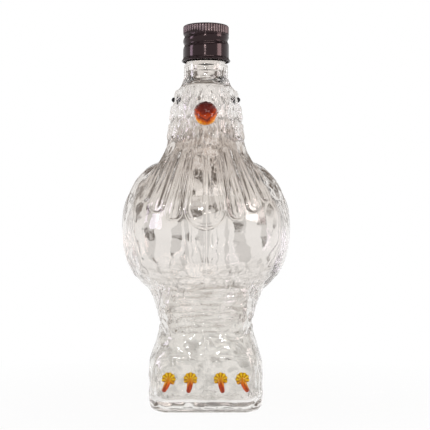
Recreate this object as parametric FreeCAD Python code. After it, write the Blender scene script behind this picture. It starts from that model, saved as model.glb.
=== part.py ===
import FreeCAD, Part
import math
import os
from FreeCAD import Matrix, Vector

# A blown glass decanter shaped as a perched bird of prey, closed by a metal screw cap.
# Millimetres. +Z is up, the bird faces -Y, and the origin is on the table under the neck's axis.

# Block that the bird perches on
BLOCK_WIDTH = 76.0
BLOCK_DEPTH = 68.0
BLOCK_FACE_HEIGHT = 34.0
BLOCK_CORNER_RADIUS = 15.0
BLOCK_FOOT_ROUND = 7.0
BLOCK_EDGE_ROUND = 9.0
BLOCK_FLOOR = 7.0
FOOT_RIM_WIDTH = 13.0
FOOT_RECESS_DEPTH = 1.2

# Waist, where the trunk rises out of the block
WAIST_HEIGHT = 57.0
WAIST_WIDTH = 61.0
WAIST_DEPTH = 58.0
WAIST_CORNER_RADIUS = 24.0
WAIST_OVERLAP = 8.0

# Trunk and head, from the waist to the collar at the foot of the neck
TRUNK_WIDTH = 108.0
TRUNK_DEPTH = 104.0
COLLAR_HEIGHT = 226.0
GLASS_WALL = 3.0
# Each station: height above the waist, half width, front reach and back reach
TRUNK_STATION_SHARES = (
    (0.053, 0.605, 0.58, 0.63),
    (0.136, 0.70, 0.70, 0.75),
    (0.243, 0.90, 0.90, 0.92),
    (0.396, 1.00, 1.00, 1.00),
    (0.509, 0.89, 0.95, 0.96),
    (0.592, 0.735, 0.82, 0.86),
    (0.669, 0.561, 0.67, 0.70),
    (0.740, 0.482, 0.56, 0.58),
    (0.822, 0.437, 0.505, 0.52),
    (0.899, 0.402, 0.455, 0.46),
    (0.941, 0.375, 0.40, 0.40),
    (0.970, 0.320, 0.335, 0.335),
)

# Thighs: two swellings under the front of the belly that run down into the block
THIGH_SPACING = 35.0
THIGH_HALF_WIDTH = 13.5
THIGH_HALF_DEPTH = 14.0
THIGH_HALF_HEIGHT = 24.0
THIGH_HEIGHT = 70.0
THIGH_FORWARD = 20.5

# Folded wings: two swollen lobes, each an ellipsoid that the trunk grows out of
WING_SPAN = 115.0
WING_HALF_WIDTH = 31.0
WING_HALF_DEPTH = 41.0
WING_HALF_HEIGHT = 46.5
WING_CENTRE_HEIGHT = 123.0
WING_SETBACK = 5.0

# Raised feathers. Each row: root across, root up, tip across, tip up, half widths at root and tip
BREAST_RELIEF = 1.5
BREAST_FEATHER_SHARES = (
    (0.00, 0.692, 0.00, 0.460, 0.150, 0.245),
    (0.21, 0.704, 0.38, 0.450, 0.048, 0.100),
    (0.31, 0.716, 0.58, 0.476, 0.044, 0.092),
    (0.41, 0.728, 0.75, 0.518, 0.040, 0.084),
)
TAIL_RELIEF = 1.5
TAIL_FEATHER_SHARES = (
    (0.00, 0.460, 0.00, 0.105, 0.100, 0.125),
    (0.25, 0.440, 0.30, 0.125, 0.090, 0.115),
)
WING_RELIEF = 0.8
WING_FEATHER_SHARES = (
    (-0.42, 0.36, -0.16, -0.62, 0.085, 0.125),
    (-0.15, 0.44, 0.16, -0.70, 0.085, 0.125),
    (0.12, 0.48, 0.46, -0.64, 0.085, 0.120),
    (0.38, 0.46, 0.70, -0.46, 0.080, 0.105),
)

# Plumage: rings of hanging feathers round the head and throat. Rows are root up, tip up, half widths
PLUMAGE_RELIEF = 1.1
PLUMAGE_RING_COUNT = 16
PLUMAGE_ROW_SHARES = (
    (0.950, 0.905, 0.030, 0.060),
    (0.888, 0.838, 0.032, 0.064),
    (0.812, 0.766, 0.034, 0.072),
    (0.741, 0.672, 0.036, 0.084),
)

# Neck and the finish that the cap closes on
NECK_RADIUS = 15.1
NECK_TOP = 235.5
NECK_ROUND = 1.5
FINISH_RADIUS = 14.0
LIP_HEIGHT = 260.0
LIP_ROUND = 1.3
BORE_RADIUS = 9.5

# Screw cap: thin metal shell with a grip band and a flared hem, and the sealing disc inside it
CAP_RADIUS = 15.75
CAP_WALL = 0.5
CAP_HEIGHT = 25.0
CAP_TOP_ROUND = 1.4
CAP_HEM_FLARE = 1.1
CAP_HEM_HEIGHT = 1.6
GRIP_BAND_HEIGHT = 5.0
GRIP_RIB_COUNT = 50
GRIP_GROOVE_RADIUS = 0.6
GRIP_GROOVE_DEPTH = 0.22
LINER_THICKNESS = 1.4
LINER_SIDE_CLEARANCE = 0.35
SEAL_CLEARANCE = 0.1

# Coloured glass pieces fused to the outside. The seat clearance keeps each one clear of the shell.
SEAT_CLEARANCE = 0.05
# Steps along the rounded end of the beak and of each talon
DOME_SHARES = (0.55, 0.85, 0.97)
EYE_DIAMETER = 3.4
EYE_HEIGHT = 210.5
EYE_FORWARD = 3.5
EYE_PROUD = 0.9
BEAK_HEIGHT = 200.6
BEAK_WIDTH = 15.2
BEAK_DEPTH = 12.8
BEAK_REACH = 10.5
BEAK_DROP = 7.5
BEAK_ROOT = 6.0
BEAK_SECTION_COUNT = 5
BEAK_SWEEP_DEGREES = 75.0
BEAK_TAPER_SHARE = 0.86
BEAK_DOME = 4.8

# Claws: a fan of rounded toes with one blunt talon each
CLAW_INNER_OFFSET = 9.9
CLAW_OUTER_OFFSET = 24.2
CLAW_HEIGHT = 23.2
CLAW_INNER_SPLAY_DEGREES = 2.0
CLAW_OUTER_SPLAY_DEGREES = 16.0
TOE_COUNT = 7
TOE_FAN_DEGREES = 214.0
TOE_TILT_DEGREES = 14.0
TOE_LENGTH = 3.3
TOE_ROOT_RADIUS = 1.2
TOE_TIP_RADIUS = 1.5
HUB_RADIUS = 2.6
HUB_LIFT = 2.2
TALON_LENGTH = 7.4
TALON_ARCH = 1.8
TALON_ROOT_RADIUS = 2.3
TALON_TIP_RADIUS = 1.6
TALON_SECTION_COUNT = 4

OVERRUN = 5.0


def scaled(shape, x, y, z):
    """A unit shape stretched along the three axes."""
    matrix = Matrix()
    matrix.scale(x, y, z)
    return shape.transformGeometry(matrix)


def fused(shapes):
    return shapes[0].multiFuse(shapes[1:])


def rounded_rectangle(width, depth, radius, height):
    """A level wire of four sides and four corner arcs."""
    x = width / 2
    y = depth / 2
    slack = radius * (1 - math.sqrt(0.5))
    corners = ((1, -1), (1, 1), (-1, 1), (-1, -1))
    edges = []
    starts = []
    ends = []
    for index, (side_x, side_y) in enumerate(corners):
        along_x = Vector(side_x * (x - radius), side_y * y, height)
        along_y = Vector(side_x * x, side_y * (y - radius), height)
        middle = Vector(side_x * (x - slack), side_y * (y - slack), height)
        first, last = (along_x, along_y) if index % 2 == 0 else (along_y, along_x)
        edges.append(Part.Arc(first, middle, last).toShape())
        starts.append(first)
        ends.append(last)
    sides = [Part.makeLine(ends[i], starts[(i + 1) % len(corners)]) for i in range(len(corners))]
    return Part.Wire(Part.__sortEdges__(edges + sides))


def edges_at(shape, height):
    """The level edges that lie at one height."""
    tolerance = SEAT_CLEARANCE
    box_edges = [(edge, edge.BoundBox) for edge in shape.Edges]
    return [edge for edge, box in box_edges
            if abs(box.ZMin - height) < tolerance and abs(box.ZMax - height) < tolerance]


def block_form(inset, floor):
    """The block: upright faces, then a taper up to the waist, with its level edges rounded."""
    lower = (BLOCK_WIDTH - 2 * inset, BLOCK_DEPTH - 2 * inset, BLOCK_CORNER_RADIUS - inset)
    upper = (WAIST_WIDTH - 2 * inset, WAIST_DEPTH - 2 * inset, WAIST_CORNER_RADIUS - inset)
    upright = Part.Face(rounded_rectangle(*lower, floor))
    upright = upright.extrude(Vector(0, 0, BLOCK_FACE_HEIGHT - floor))
    wires = [rounded_rectangle(*lower, BLOCK_FACE_HEIGHT), rounded_rectangle(*upper, WAIST_HEIGHT)]
    form = upright.fuse(Part.makeLoft(wires, True, True))
    form = form.makeFillet(BLOCK_EDGE_ROUND, edges_at(form, BLOCK_FACE_HEIGHT))
    return form.makeFillet(BLOCK_FOOT_ROUND - inset, edges_at(form, floor))


def trunk_stations(collar_radius):
    """Height, half width, front reach and back reach of each level section of the trunk."""
    half_width = TRUNK_WIDTH / 2
    half_depth = TRUNK_DEPTH / 2
    rise = COLLAR_HEIGHT - WAIST_HEIGHT
    waist = (WAIST_WIDTH / 2, WAIST_DEPTH / 2, WAIST_DEPTH / 2)
    stations = [(WAIST_HEIGHT - WAIST_OVERLAP, *waist), (WAIST_HEIGHT, *waist)]
    for up, across, front, back in TRUNK_STATION_SHARES:
        height = WAIST_HEIGHT + up * rise
        stations.append((height, across * half_width, front * half_depth, back * half_depth))
    stations.append((COLLAR_HEIGHT, collar_radius, collar_radius, collar_radius))
    return stations


def egg_wire(half_width, front, back, height):
    """A level oval: half an ellipse to the front and half of another to the back."""
    right = Vector(1, 0, 0)
    left = Vector(-1, 0, 0)
    rear = Part.Arc(right, Vector(0, 1, 0), left).toShape()
    fore = Part.Arc(left, Vector(0, -1, 0), right).toShape()
    wire = Part.Wire([scaled(rear, half_width, back, 1), scaled(fore, half_width, front, 1)])
    wire.translate(Vector(0, 0, height))
    return wire


def trunk_form(inset, collar_radius):
    """The trunk and head, lofted from the waist to the collar."""
    stations = trunk_stations(collar_radius + inset)
    wires = [egg_wire(w - inset, f - inset, b - inset, z) for z, w, f, b in stations]
    return Part.makeLoft(wires, True, False)


def wing_form(side, inset):
    """One folded wing. The side is 1 on the right and -1 on the left."""
    wing = scaled(Part.makeSphere(1), WING_HALF_WIDTH - inset, WING_HALF_DEPTH - inset,
                  WING_HALF_HEIGHT - inset)
    reach = WING_SPAN / 2 - WING_HALF_WIDTH
    wing.translate(Vector(side * reach, WING_SETBACK, WING_CENTRE_HEIGHT))
    return wing


def thigh_form(side, inset):
    """One thigh. The side is 1 on the right and -1 on the left."""
    thigh = scaled(Part.makeSphere(1), THIGH_HALF_WIDTH - inset, THIGH_HALF_DEPTH - inset,
                   THIGH_HALF_HEIGHT - inset)
    thigh.translate(Vector(side * THIGH_SPACING / 2, -THIGH_FORWARD, THIGH_HEIGHT))
    return thigh


def feather_outline(root, tip, root_half_width, tip_half_width):
    """A long leaf with a round end, drawn in the plane of across and up."""
    along = (tip - root).normalize()
    across = Vector(-along.y, along.x, 0)
    shoulder = tip - across * tip_half_width
    other = tip + across * tip_half_width
    end = Part.Arc(shoulder, tip + along * tip_half_width, other).toShape()
    start_left = root - across * root_half_width
    start_right = root + across * root_half_width
    sides = [Part.makeLine(start_left, shoulder), Part.makeLine(other, start_right)]
    return Part.Wire([sides[0], end, sides[1], Part.makeLine(start_right, start_left)])


def feather_prism(outline, normal, up_axis_rotation, length):
    """The outline stood up and pushed out of the trunk along its normal."""
    face = Part.Face(outline)
    face.Placement = FreeCAD.Placement(Vector(0, 0, 0), up_axis_rotation)
    return face.extrude(normal * length)


def trunk_feathers(shares, relief, facing):
    """Raised feathers over the trunk: facing -1 is the breast and 1 is the tail."""
    half_width = TRUNK_WIDTH / 2
    rise = COLLAR_HEIGHT - WAIST_HEIGHT
    skin = trunk_form(-relief, NECK_RADIUS)
    stand_up = FreeCAD.Rotation(Vector(1, 0, 0), 90)
    feathers = []
    for root_x, root_z, tip_x, tip_z, root_half, tip_half in shares:
        for side in ((1, -1) if root_x else (1,)):
            root = Vector(side * root_x * half_width, WAIST_HEIGHT + root_z * rise, 0)
            tip = Vector(side * tip_x * half_width, WAIST_HEIGHT + tip_z * rise, 0)
            outline = feather_outline(root, tip, root_half * half_width, tip_half * half_width)
            prism = feather_prism(outline, Vector(0, facing, 0), stand_up, TRUNK_DEPTH)
            feathers.append(prism.common(skin))
    return feathers


def wing_feathers(side):
    """Long flight feathers raised over one wing."""
    skin = wing_form(side, -WING_RELIEF)
    stand_sideways = FreeCAD.Rotation(Vector(1, 1, 1), 120)
    feathers = []
    for root_y, root_z, tip_y, tip_z, root_half, tip_half in WING_FEATHER_SHARES:
        root = Vector(WING_SETBACK + root_y * WING_HALF_DEPTH,
                      WING_CENTRE_HEIGHT + root_z * WING_HALF_HEIGHT, 0)
        tip = Vector(WING_SETBACK + tip_y * WING_HALF_DEPTH,
                     WING_CENTRE_HEIGHT + tip_z * WING_HALF_HEIGHT, 0)
        outline = feather_outline(root, tip, root_half * WING_HALF_DEPTH, tip_half * WING_HALF_DEPTH)
        prism = feather_prism(outline, Vector(side, 0, 0), stand_sideways, WING_SPAN)
        feathers.append(prism.common(skin))
    return feathers


def plumage(others):
    """Rings of feathers round the head and throat, each ring half a step on from the one above it.

    Only feathers that stay clear of the other pieces are kept.
    """
    half_width = TRUNK_WIDTH / 2
    rise = COLLAR_HEIGHT - WAIST_HEIGHT
    step = 360 / PLUMAGE_RING_COUNT
    neighbours = Part.makeCompound(others)
    skin = trunk_form(-PLUMAGE_RELIEF, NECK_RADIUS)
    stand_up = FreeCAD.Rotation(Vector(1, 0, 0), 90)
    feathers = []
    for row, (root_up, tip_up, root_half, tip_half) in enumerate(PLUMAGE_ROW_SHARES):
        root = Vector(0, WAIST_HEIGHT + root_up * rise, 0)
        tip = Vector(0, WAIST_HEIGHT + tip_up * rise, 0)
        outline = feather_outline(root, tip, root_half * half_width, tip_half * half_width)
        prism = feather_prism(outline, Vector(0, -1, 0), stand_up, half_width)
        prism.translate(Vector(0, -NECK_RADIUS, 0))
        for index in range(PLUMAGE_RING_COUNT):
            turn = step * (index + (0 if row % 2 else 0.5))
            feather = prism.rotated(Vector(0, 0, 0), Vector(0, 0, 1), turn).common(skin)
            if feather.distToShape(neighbours)[0] > SEAT_CLEARANCE:
                feathers.append(feather)
    return feathers


def turned(points):
    """A solid of revolution about Z. Each point is radius, height; a third entry marks an arc."""
    edges = []
    for index, point in enumerate(points):
        if len(point) == 3:
            continue
        follower = points[(index + 1) % len(points)]
        start = Vector(point[0], 0, point[1])
        if len(follower) == 3:
            after = points[(index + 2) % len(points)]
            edges.append(Part.Arc(start, Vector(follower[0], 0, follower[1]),
                                  Vector(after[0], 0, after[1])).toShape())
        else:
            edges.append(Part.makeLine(start, Vector(follower[0], 0, follower[1])))
    face = Part.Face(Part.Wire(edges))
    return face.revolve(Vector(0, 0, 0), Vector(0, 0, 1), 360)


def capsule(root_radius, tip_radius, length):
    """A tapered rod with round ends, standing on Z from its root's centre to its tip's centre."""
    diagonal = math.sqrt(0.5)
    return turned([
        (0, -root_radius),
        (diagonal * root_radius, -diagonal * root_radius, "arc"),
        (root_radius, 0),
        (tip_radius, length),
        (diagonal * tip_radius, length + diagonal * tip_radius, "arc"),
        (0, length + tip_radius),
    ])


def round_point(radius, height, size):
    """The middle of a convex quarter arc whose corner is at the radius and height given."""
    slack = size * (1 - math.sqrt(0.5))
    return (radius - slack, height - slack, "arc")


def neck_form():
    """The solid neck and finish, before the bore is cut."""
    return turned([
        (0, COLLAR_HEIGHT),
        (NECK_RADIUS, COLLAR_HEIGHT),
        (NECK_RADIUS, NECK_TOP - NECK_ROUND),
        round_point(NECK_RADIUS, NECK_TOP, NECK_ROUND),
        (NECK_RADIUS - NECK_ROUND, NECK_TOP),
        (FINISH_RADIUS - NECK_ROUND, NECK_TOP),
        (FINISH_RADIUS - NECK_ROUND, NECK_TOP + NECK_ROUND),
        (FINISH_RADIUS, NECK_TOP + NECK_ROUND),
        (FINISH_RADIUS, LIP_HEIGHT - LIP_ROUND),
        round_point(FINISH_RADIUS, LIP_HEIGHT, LIP_ROUND),
        (FINISH_RADIUS - LIP_ROUND, LIP_HEIGHT),
        (0, LIP_HEIGHT),
    ])


def glass_body(face_pieces):
    """The hollow shell: block, trunk, wings, raised feathers and neck, with the cavity cut out."""
    outside = [block_form(0, 0), trunk_form(0, NECK_RADIUS), neck_form()]
    inside = [block_form(GLASS_WALL, BLOCK_FLOOR), trunk_form(GLASS_WALL, BORE_RADIUS)]
    for side in (1, -1):
        outside.append(wing_form(side, 0))
        outside.append(thigh_form(side, 0))
        outside.extend(wing_feathers(side))
        inside.append(wing_form(side, GLASS_WALL))
        inside.append(thigh_form(side, GLASS_WALL))
    breast = trunk_feathers(BREAST_FEATHER_SHARES, BREAST_RELIEF, -1)
    outside.extend(breast)
    outside.extend(plumage(face_pieces + breast))
    outside.extend(trunk_feathers(TAIL_FEATHER_SHARES, TAIL_RELIEF, 1))
    bore_bottom = COLLAR_HEIGHT
    inside.append(Part.makeCylinder(BORE_RADIUS, LIP_HEIGHT - bore_bottom + OVERRUN,
                                    Vector(0, 0, bore_bottom)))
    recess = Part.Face(rounded_rectangle(BLOCK_WIDTH - 2 * FOOT_RIM_WIDTH,
                                         BLOCK_DEPTH - 2 * FOOT_RIM_WIDTH,
                                         BLOCK_CORNER_RADIUS / 2, 0))
    recess = recess.extrude(Vector(0, 0, FOOT_RECESS_DEPTH))
    return fused(outside).cut(fused(inside)).cut(recess)


def cap_top():
    return LIP_HEIGHT + SEAL_CLEARANCE + LINER_THICKNESS + SEAL_CLEARANCE + CAP_WALL


def screw_cap():
    """The cap: a drawn cup with a flared hem, and a band of grip ribs under its top edge."""
    top = cap_top()
    hem = top - CAP_HEIGHT
    inner = CAP_RADIUS - CAP_WALL
    flare = CAP_RADIUS + CAP_HEM_FLARE
    cup = turned([
        (0, top - CAP_WALL),
        (inner, top - CAP_WALL),
        (inner, hem + CAP_HEM_HEIGHT),
        (flare - CAP_WALL, hem),
        (flare, hem),
        (flare, hem + CAP_WALL),
        (CAP_RADIUS, hem + CAP_HEM_HEIGHT + CAP_WALL),
        (CAP_RADIUS, top - CAP_TOP_ROUND),
        round_point(CAP_RADIUS, top, CAP_TOP_ROUND),
        (CAP_RADIUS - CAP_TOP_ROUND, top),
        (0, top),
    ])
    grooves = []
    groove_centre = CAP_RADIUS + GRIP_GROOVE_RADIUS - GRIP_GROOVE_DEPTH
    bottom = top - CAP_TOP_ROUND - GRIP_BAND_HEIGHT
    for index in range(GRIP_RIB_COUNT):
        angle = 2 * math.pi * index / GRIP_RIB_COUNT
        place = Vector(groove_centre * math.cos(angle), groove_centre * math.sin(angle), bottom)
        grooves.append(Part.makeCylinder(GRIP_GROOVE_RADIUS, GRIP_BAND_HEIGHT, place))
    return cup.cut(Part.makeCompound(grooves))


def cap_liner():
    radius = CAP_RADIUS - CAP_WALL - LINER_SIDE_CLEARANCE
    return Part.makeCylinder(radius, LINER_THICKNESS, Vector(0, 0, LIP_HEIGHT + SEAL_CLEARANCE))


def skin_point(form, start, way):
    """Where a line from a point inside a form leaves it."""
    inside = form.common(Part.makeLine(start, start + way * TRUNK_WIDTH))
    return max((vertex.Point for vertex in inside.Vertexes), key=start.distanceToPoint)


def eye(side, head):
    """A domed bead whose flat back lies against the side of the head and leans with it."""
    radius = EYE_DIAMETER / 2

    def skin(ahead, up):
        inner = Vector(0, -EYE_FORWARD - ahead, EYE_HEIGHT + up)
        return skin_point(head, inner, Vector(side, 0, 0))

    rise = skin(0, radius) - skin(0, -radius)
    run = skin(radius, 0) - skin(-radius, 0)
    outward = (rise.cross(run) * side).normalize()
    centre = skin(0, 0) + outward * EYE_PROUD
    back_latitude = -math.degrees(math.asin(EYE_PROUD / radius))
    return Part.makeSphere(radius, centre, outward, back_latitude, 90, 360)


def beak(head):
    """The hooked beak: ovals that shrink along an arc, from the face forward and down to a blunt end."""
    face = -skin_point(head, Vector(0, 0, BEAK_HEIGHT), Vector(0, -1, 0)).y
    half_sizes = Vector(BEAK_WIDTH / 2, BEAK_DEPTH / 2, 0)

    def oval(scale, place, forward):
        wire = egg_wire(scale * half_sizes.x, scale * half_sizes.y, scale * half_sizes.y, 0)
        wire.Placement = FreeCAD.Placement(place, FreeCAD.Rotation(Vector(0, 0, 1), forward))
        return wire

    wires = [oval(1, Vector(0, BEAK_ROOT - face, BEAK_HEIGHT), Vector(0, -1, 0))]
    for index in range(BEAK_SECTION_COUNT):
        share = index / (BEAK_SECTION_COUNT - 1)
        angle = math.radians(BEAK_SWEEP_DEGREES) * share
        taper = 1 - (1 - BEAK_TAPER_SHARE) * share ** 2
        forward = Vector(0, -BEAK_REACH * math.cos(angle), -BEAK_DROP * math.sin(angle))
        place = Vector(0, -face - BEAK_REACH * math.sin(angle),
                       BEAK_HEIGHT - BEAK_DROP * (1 - math.cos(angle)))
        wires.append(oval(taper, place, forward))
    forward.normalize()
    for share in DOME_SHARES:
        ahead = place + forward * (share * BEAK_DOME)
        wires.append(oval(taper * math.sqrt(1 - share ** 2), ahead, forward))
    return Part.makeLoft(wires, True, False).cut(head)


def claw(offset, splay, block):
    """One claw: rounded toes in a fan over a blunt talon, set against the front of the block."""
    hub = Vector(0, -HUB_LIFT, 0)
    toe = capsule(TOE_ROOT_RADIUS, TOE_TIP_RADIUS, TOE_LENGTH)
    toe.rotate(Vector(0, 0, 0), Vector(1, 0, 0), -TOE_TILT_DEGREES)
    toe.translate(hub)
    pieces = [Part.makeSphere(HUB_RADIUS, hub)]
    for index in range(TOE_COUNT):
        turn = TOE_FAN_DEGREES * (index / (TOE_COUNT - 1) - 0.5)
        pieces.append(toe.rotated(Vector(0, 0, 0), Vector(0, 1, 0), turn))
    rings = []

    def ring(scale, place, along):
        rings.append(Part.Wire(Part.makeCircle(scale, place, along)))

    for index in range(TALON_SECTION_COUNT):
        share = index / (TALON_SECTION_COUNT - 1)
        radius = TALON_ROOT_RADIUS + share * (TALON_TIP_RADIUS - TALON_ROOT_RADIUS)
        place = Vector(0, -HUB_LIFT - TALON_ARCH * math.sin(math.pi * share), -TALON_LENGTH * share)
        slope = TALON_ARCH * math.pi * math.cos(math.pi * share)
        along = Vector(0, -slope, -TALON_LENGTH).normalize()
        ring(radius, place, along)
    for share in DOME_SHARES:
        ring(radius * math.sqrt(1 - share ** 2), place + along * (share * radius), along)
    pieces.append(Part.makeLoft(rings, True, False))
    whole = fused(pieces)
    whole.rotate(Vector(0, 0, 0), Vector(0, 1, 0), splay)
    whole.translate(Vector(offset, -BLOCK_DEPTH / 2, CLAW_HEIGHT))
    return whole.cut(block)


def save(name, shape):
    """Writes one piece, after a test that it is one sound solid."""
    solids = shape.Solids
    if len(solids) != 1 or not solids[0].isValid():
        raise RuntimeError(name + " is not one sound solid: " + str(len(solids)))
    solids[0].exportStep(os.path.join("parts", name + ".step"))
    print(name, round(solids[0].Volume), "mm3,", len(solids[0].Faces), "faces")


def main():
    os.makedirs("parts", exist_ok=True)
    head = trunk_form(-SEAT_CLEARANCE, NECK_RADIUS)
    block = block_form(-SEAT_CLEARANCE, 0)
    face = {"beak": beak(head), "eye_left": eye(-1, head), "eye_right": eye(1, head)}
    save("glass_body", glass_body(list(face.values())))
    save("screw_cap", screw_cap())
    save("cap_liner", cap_liner())
    for name, piece in face.items():
        save(name, piece)
    for side, name in ((-1, "left"), (1, "right")):
        save("claw_" + name + "_outer",
             claw(side * CLAW_OUTER_OFFSET, -side * CLAW_OUTER_SPLAY_DEGREES, block))
        save("claw_" + name + "_inner",
             claw(side * CLAW_INNER_OFFSET, -side * CLAW_INNER_SPLAY_DEGREES, block))


main()
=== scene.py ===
import math

import bpy
import numpy as np
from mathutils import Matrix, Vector


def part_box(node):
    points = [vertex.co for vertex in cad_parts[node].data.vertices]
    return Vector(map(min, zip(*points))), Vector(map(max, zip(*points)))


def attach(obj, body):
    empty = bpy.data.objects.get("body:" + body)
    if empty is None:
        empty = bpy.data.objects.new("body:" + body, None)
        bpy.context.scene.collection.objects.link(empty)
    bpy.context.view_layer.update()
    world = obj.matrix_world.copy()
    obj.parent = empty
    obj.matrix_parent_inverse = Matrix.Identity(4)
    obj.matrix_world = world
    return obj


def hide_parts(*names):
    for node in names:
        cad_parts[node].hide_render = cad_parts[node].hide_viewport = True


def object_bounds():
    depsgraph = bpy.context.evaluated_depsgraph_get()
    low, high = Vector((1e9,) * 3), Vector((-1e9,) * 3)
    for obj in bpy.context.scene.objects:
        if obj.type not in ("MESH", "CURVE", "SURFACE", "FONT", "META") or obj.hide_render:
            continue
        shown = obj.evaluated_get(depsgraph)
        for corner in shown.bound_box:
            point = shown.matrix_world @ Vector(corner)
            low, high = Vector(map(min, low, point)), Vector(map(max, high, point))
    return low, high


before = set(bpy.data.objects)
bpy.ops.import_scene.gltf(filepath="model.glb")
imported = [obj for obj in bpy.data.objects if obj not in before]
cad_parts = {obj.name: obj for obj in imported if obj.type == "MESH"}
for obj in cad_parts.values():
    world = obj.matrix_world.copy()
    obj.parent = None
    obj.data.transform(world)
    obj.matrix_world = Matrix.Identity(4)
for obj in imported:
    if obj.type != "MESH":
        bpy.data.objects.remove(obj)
CAD_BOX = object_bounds()

# A clear glass decanter shaped as a perched bird, with amber beak and claws and a screw cap.
# Sizes are in millimetres, as on the solids, and every mesh is brought to metres when it is made.
# Heights are above the foot. The bird looks along minus Y, and angles run round the upright axis.
MM = 0.001
TAU = 2 * math.pi
QUARTER = math.pi / 2
TINY = 1e-9

# Block and waist. A foot share is one ring of the foot: share of its reach and of the recess
BLOCK_HALF_WIDTH = 38.0
BLOCK_HALF_DEPTH = 34.0
BLOCK_FACE_HEIGHT = 34.0
BLOCK_CORNER = 15.0
FOOT_ROUND = 7.0
FLOOR = 7.0
FLOOR_ROUND = 5.0
RECESS = 1.2
FOOT_SHARES = ((0.12, 1.0), (0.45, 1.0), (0.70, 1.0), (0.76, 1.0), (0.79, 0.7), (0.82, 0.0), (0.90, 0.0))
WAIST_HEIGHT = 57.0
WAIST_HALF_WIDTH = 30.5
WAIST_HALF_DEPTH = 29.0
WAIST_CORNER = 24.0
WAIST_OVERLAP = 8.0
BEND_SOFTNESS = 0.004
CLOSING_SLOPE = 2.5

# Trunk, head and neck. A station is share of the rise, half width, half depth in front and behind
TRUNK_HALF_WIDTH = 54.0
TRUNK_HALF_DEPTH = 52.0
COLLAR = 226.0
TRUNK_RISE = COLLAR - WAIST_HEIGHT
WALL = 3.0
OUTER_BLEND = 3.0
INNER_BLEND = 7.0
BLOCK_BLEND_SHARE = 0.6
BOX_BLEND = 1.2
TRUNK_STATION_SHARES = (
    (0.053, 0.605, 0.58, 0.63),
    (0.136, 0.70, 0.70, 0.75),
    (0.243, 0.90, 0.90, 0.92),
    (0.396, 1.00, 1.00, 1.00),
    (0.509, 0.89, 0.95, 0.96),
    (0.592, 0.735, 0.82, 0.86),
    (0.669, 0.561, 0.67, 0.70),
    (0.740, 0.482, 0.56, 0.58),
    (0.822, 0.437, 0.505, 0.52),
    (0.899, 0.402, 0.455, 0.46),
    (0.941, 0.375, 0.40, 0.40),
    (0.970, 0.320, 0.335, 0.335),
)
NECK_RADIUS = 15.1
NECK_TOP = 235.5
NECK_ROUND = 1.5
NECK_LINE_HEIGHTS = (230.2, 225.8)
NECK_LINE_RELIEF = 0.22
NECK_LINE_HALF_WIDTH = 0.55
FINISH_ROOT_RADIUS = 13.65
FINISH_STEP = 1.5
LIP = 260.0
LIP_ROUND = 1.3
BORE_RADIUS = 9.5
BORE_ROUND = LIP_ROUND * 0.7

# Lobes: centre and half sizes of the right wing and the right thigh
WING_CENTRE = (26.5, 5.0, 123.0)
WING_HALF = (31.0, 41.0, 46.5)
THIGH_CENTRE = (17.5, -20.5, 70.0)
THIGH_HALF = (13.5, 14.0, 24.0)

# Feathers raised from the glass: root across and up, tip across and up, half width at root and tip
BREAST_RELIEF = 1.4
BREAST_FEATHER_SHARES = (
    (0.00, 0.692, 0.00, 0.460, 0.150, 0.245),
    (0.21, 0.704, 0.38, 0.450, 0.048, 0.100),
    (0.31, 0.716, 0.58, 0.476, 0.044, 0.092),
    (0.41, 0.728, 0.75, 0.518, 0.040, 0.084),
)
TAIL_RELIEF = 1.2
TAIL_FEATHER_SHARES = (
    (0.00, 0.460, 0.00, 0.105, 0.100, 0.125),
    (0.25, 0.440, 0.30, 0.125, 0.090, 0.115),
)
WING_RELIEF = 0.75
WING_FEATHER_SHARES = (
    (-0.42, 0.36, -0.16, -0.62, 0.085, 0.125),
    (-0.15, 0.44, 0.16, -0.70, 0.085, 0.125),
    (0.12, 0.48, 0.46, -0.64, 0.085, 0.120),
    (0.38, 0.46, 0.70, -0.46, 0.080, 0.105),
)
LEAF_MARGIN = 2.3
LEAF_LINE_HALF_WIDTH = 0.55
LEAF_LINE_DEPTH = 0.42
LEAF_RIB_HALF_WIDTH = 0.6
LEAF_RIB_HEIGHT = 0.16

# Plumage: rings of hanging feathers round the head and throat. Rows are root up, tip up, half widths
PLUMAGE_RELIEF = 1.1
PLUMAGE_MARGIN = 1.4
PLUMAGE_RING_COUNT = 16
PLUMAGE_ROW_SHARES = (
    (0.950, 0.905, 0.030, 0.060),
    (0.888, 0.838, 0.032, 0.064),
    (0.812, 0.766, 0.034, 0.072),
    (0.741, 0.672, 0.036, 0.084),
)

# Coats of small feathers: relief, radius of the girth that they go round, how many, row and point,
# sway round and up, and the heights over which the coat fades in and out
COATS = (
    ("head", 0.9, 22, 26, 6.5, 4.5, 1.0, 1.0, (186, 194), (221, 212)),
    ("throat", 0.35, 26, 32, 12.0, 8.5, 1.0, 0.7, (154, 164), (194, 186)),
    ("strands", 0.2, 26, 60, 9.0, 7.0, 1.5, 1.0, (154, 164), (194, 186)),
    ("legs", 1.1, 34, 32, 7.5, 5.0, 2.0, 2.0, (50, 57), (98, 78)),
    ("back", 0.4, 50, 32, 11.0, 8.0, 1.0, 1.0, (84, 92), (164, 154)),
)

# Soft waves: size and seed of each set
RIPPLE_WAVES = 7
RIPPLES = {"skin": (30, 1), "dimples": (9, 2), "sway": (14, 3), "shake": (6, 4), "inside": (20, 5),
           "inside dimples": (9, 6), "block dimples": (5, 7), "leg lines": (16, 8)}

# Ripples of the legs, the mould seam, the panel line of the block and the waves of the skin
LEG_LINE_RELIEF = 0.5
LEG_LINE_PITCH = 3.6
SEAM_RELIEF = 0.35
SEAM_HALF_WIDTH = 0.5
PANEL_RELIEF = 0.45
PANEL_LINE_HALF_WIDTH = 0.9
PANEL_HALF_WIDTH = 33.5
PANEL_SPAN = (4.0, 37.0)
PANEL_CORNER = 9.0
SKIN_RELIEF = 0.2
DIMPLE_RELIEF = (0.05, 0.25)

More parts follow.
